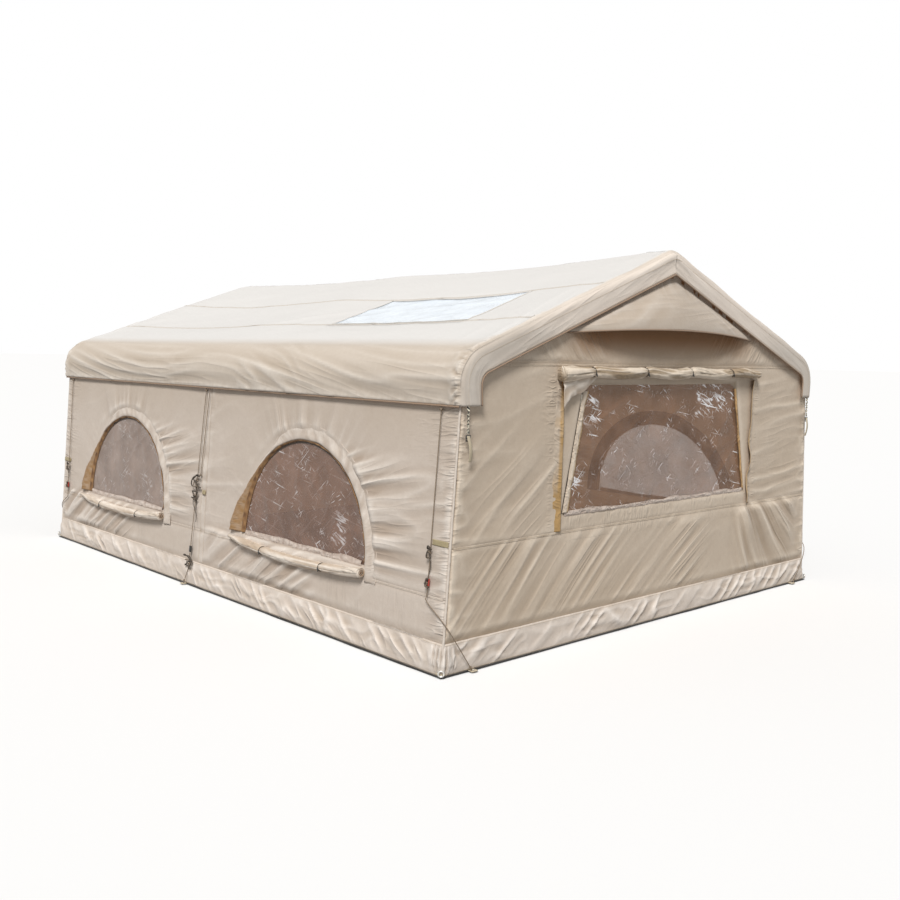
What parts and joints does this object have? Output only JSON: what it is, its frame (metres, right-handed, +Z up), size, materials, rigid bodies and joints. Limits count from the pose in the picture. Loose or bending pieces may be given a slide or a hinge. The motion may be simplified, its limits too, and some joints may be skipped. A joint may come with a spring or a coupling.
{
  "type": "inflatable tent",
  "caption": "House-shaped inflatable tent with air-beam arches, canvas walls, a rain fly with a skylight, film windows with rolled flaps, a zipped door and guy lines.",
  "frame": {"origin": "middle of the groundsheet's underside, on the ground", "axes": "+X along the ridge towards the gable with the big window, +Y towards the far long wall, +Z up"},
  "size_m": [4.767, 3.552, 2.154],
  "materials": {
    "wall_canvas": "plain weave coated canvas, warm beige, matte",
    "fly_canvas": "coated roof cloth, paler beige, low sheen",
    "air_beam": "canvas sleeve over an air-tight bladder, drum tight, tan",
    "clear_film": "clear crinkled window film, glossy",
    "sky_film": "clear skylight film that reflects the sky, glossy",
    "net_cloth": "fine insect net",
    "ground_cloth": "heavy black coated ground cloth",
    "zip_metal": "bronze lacquer on cast zip sliders",
    "rope_fibre": "braided dark cord",
    "black_plastic": "moulded nylon, satin",
    "red_plastic": "moulded nylon, dull red"
  },
  "bodies": {
    "tent": {"arch_beam_front": "air_beam", "arch_beam_middle": "air_beam", "arch_beam_rear": "air_beam", "ridge_beam_front": "air_beam", "ridge_beam_rear": "air_beam", "eave_beam_near_front": "air_beam", "eave_beam_near_rear": "air_beam", "eave_beam_far_front": "air_beam", "eave_beam_far_rear": "air_beam", "roof_canopy": "wall_canvas", "skylight_net": "net_cloth", "skylight_film": "sky_film", "rain_fly": "fly_canvas", "wall_near": "wall_canvas", "window_film_near_front": "clear_film", "flap_roll_near_front": "fly_canvas", "window_film_near_rear": "clear_film", "flap_roll_near_rear": "fly_canvas", "wall_far": "wall_canvas", "window_film_far_front": "clear_film", "flap_roll_far_front": "fly_canvas", "window_film_far_rear": "clear_film", "flap_roll_far_rear": "fly_canvas", "gable_wall_front": "wall_canvas", "gable_window_film": "clear_film", "gable_wall_rear": "wall_canvas", "gable_flap_roll": "fly_canvas", "storm_flap_near": "fly_canvas", "storm_flap_far": "fly_canvas", "gable_brow": "fly_canvas", "groundsheet": "ground_cloth", "mud_skirt": "wall_canvas", "guy_rope_near_front": "rope_fibre", "guy_rope_near_rear": "rope_fibre", "guy_rope_near_middle": "rope_fibre", "guy_rope_far_front": "rope_fibre", "guy_rope_far_rear": "rope_fibre", "guy_rope_far_middle": "rope_fibre", "valve_body": "black_plastic"},
    "door": {"door_panel": "wall_canvas"},
    "door_slider": {"door_slider": "zip_metal"},
    "window_slider_near_front": {"window_slider_near_front": "zip_metal"},
    "window_slider_near_rear": {"window_slider_near_rear": "zip_metal"},
    "window_slider_far_front": {"window_slider_far_front": "zip_metal"},
    "window_slider_far_rear": {"window_slider_far_rear": "zip_metal"},
    "gable_slider_near": {"gable_slider_near": "zip_metal"},
    "gable_slider_far": {"gable_slider_far": "zip_metal"},
    "tensioner_near_front": {"tensioner_near_front": "red_plastic"},
    "tensioner_near_rear": {"tensioner_near_rear": "red_plastic"},
    "tensioner_near_middle": {"tensioner_near_middle": "black_plastic"},
    "tensioner_far_front": {"tensioner_far_front": "red_plastic"},
    "tensioner_far_rear": {"tensioner_far_rear": "red_plastic"},
    "tensioner_far_middle": {"tensioner_far_middle": "black_plastic"},
    "buckle_near_front": {"buckle_near_front": "black_plastic"},
    "buckle_near_rear": {"buckle_near_rear": "black_plastic"},
    "buckle_far_front": {"buckle_far_front": "black_plastic"},
    "buckle_far_rear": {"buckle_far_rear": "black_plastic"},
    "valve_cap": {"valve_cap": "black_plastic"},
    "valve_plunger": {"valve_plunger": "red_plastic"}
  },
  "joints": [
    {"name": "door_hinge", "type": "hinge", "parent": "tent", "child": "door", "pos_m": [-2.3044, 0.542, 0], "axis": [0, 0, -1], "range_deg": [0, 110]},
    {"name": "door_zip_slide", "type": "slide", "parent": "tent", "child": "door_slider", "axis": [0, 0, 1], "range_m": [-0.25, 1]},
    {"name": "window_zip_near_front", "type": "hinge", "parent": "tent", "child": "window_slider_near_front", "pos_m": [1.06, -1.69855, 0.435], "axis": [0, -0.9977, 0.0675], "range_deg": [0, 170]},
    {"name": "window_zip_near_rear", "type": "hinge", "parent": "tent", "child": "window_slider_near_rear", "pos_m": [-1.175, -1.69855, 0.435], "axis": [0, -0.9977, 0.0675], "range_deg": [0, 170]},
    {"name": "window_zip_far_front", "type": "hinge", "parent": "tent", "child": "window_slider_far_front", "pos_m": [1.06, 1.69855, 0.435], "axis": [0, 0.9977, 0.0675], "range_deg": [0, 170]},
    {"name": "window_zip_far_rear", "type": "hinge", "parent": "tent", "child": "window_slider_far_rear", "pos_m": [-1.175, 1.69855, 0.435], "axis": [0, 0.9977, 0.0675], "range_deg": [0, 170]},
    {"name": "gable_zip_near", "type": "slide", "parent": "tent", "child": "gable_slider_near", "axis": [0, -0.2085, -0.978], "range_m": [0, 0.55]},
    {"name": "gable_zip_far", "type": "slide", "parent": "tent", "child": "gable_slider_far", "axis": [0, 0.2085, -0.978], "range_m": [0, 0.55]},
    {"name": "tensioner_slide_near_front", "type": "slide", "parent": "tent", "child": "tensioner_near_front", "axis": [0.0105, 0.0675, 0.9977], "range_m": [0, 0.5]},
    {"name": "tensioner_slide_near_rear", "type": "slide", "parent": "tent", "child": "tensioner_near_rear", "axis": [-0.0105, 0.0675, 0.9977], "range_m": [0, 0.5]},
    {"name": "tensioner_slide_near_middle", "type": "slide", "parent": "tent", "child": "tensioner_near_middle", "axis": [0.0843, 0.0673, 0.9942], "range_m": [0, 0.8]},
    {"name": "tensioner_slide_far_front", "type": "slide", "parent": "tent", "child": "tensioner_far_front", "axis": [0.0105, -0.0675, 0.9977], "range_m": [0, 0.5]},
    {"name": "tensioner_slide_far_rear", "type": "slide", "parent": "tent", "child": "tensioner_far_rear", "axis": [-0.0105, -0.0675, 0.9977], "range_m": [0, 0.5]},
    {"name": "tensioner_slide_far_middle", "type": "slide", "parent": "tent", "child": "tensioner_far_middle", "axis": [0.0843, -0.0673, 0.9942], "range_m": [0, 0.8]},
    {"name": "buckle_flip_near_front", "type": "hinge", "parent": "tent", "child": "buckle_near_front", "pos_m": [2.335, -1.617, 1.1641], "axis": [0, -1, 0], "range_deg": [0, 60]},
    {"name": "buckle_flip_near_rear", "type": "hinge", "parent": "tent", "child": "buckle_near_rear", "pos_m": [-2.335, -1.617, 1.1641], "axis": [0, 1, 0], "range_deg": [0, 60]},
    {"name": "buckle_flip_far_front", "type": "hinge", "parent": "tent", "child": "buckle_far_front", "pos_m": [2.335, 1.617, 1.1641], "axis": [0, -1, 0], "range_deg": [0, 60]},
    {"name": "buckle_flip_far_rear", "type": "hinge", "parent": "tent", "child": "buckle_far_rear", "pos_m": [-2.335, 1.617, 1.1641], "axis": [0, 1, 0], "range_deg": [0, 60]},
    {"name": "valve_cap_turn", "type": "hinge", "parent": "tent", "child": "valve_cap", "pos_m": [-2.1256, -1.61959, 0.42], "axis": [1, 0, 0], "range_deg": [0, 720]},
    {"name": "valve_plunger_push", "type": "slide", "parent": "tent", "child": "valve_plunger", "axis": [-1, 0, 0], "range_m": [0, 0.004], "stiffness_N_per_m": 300}
  ]
}
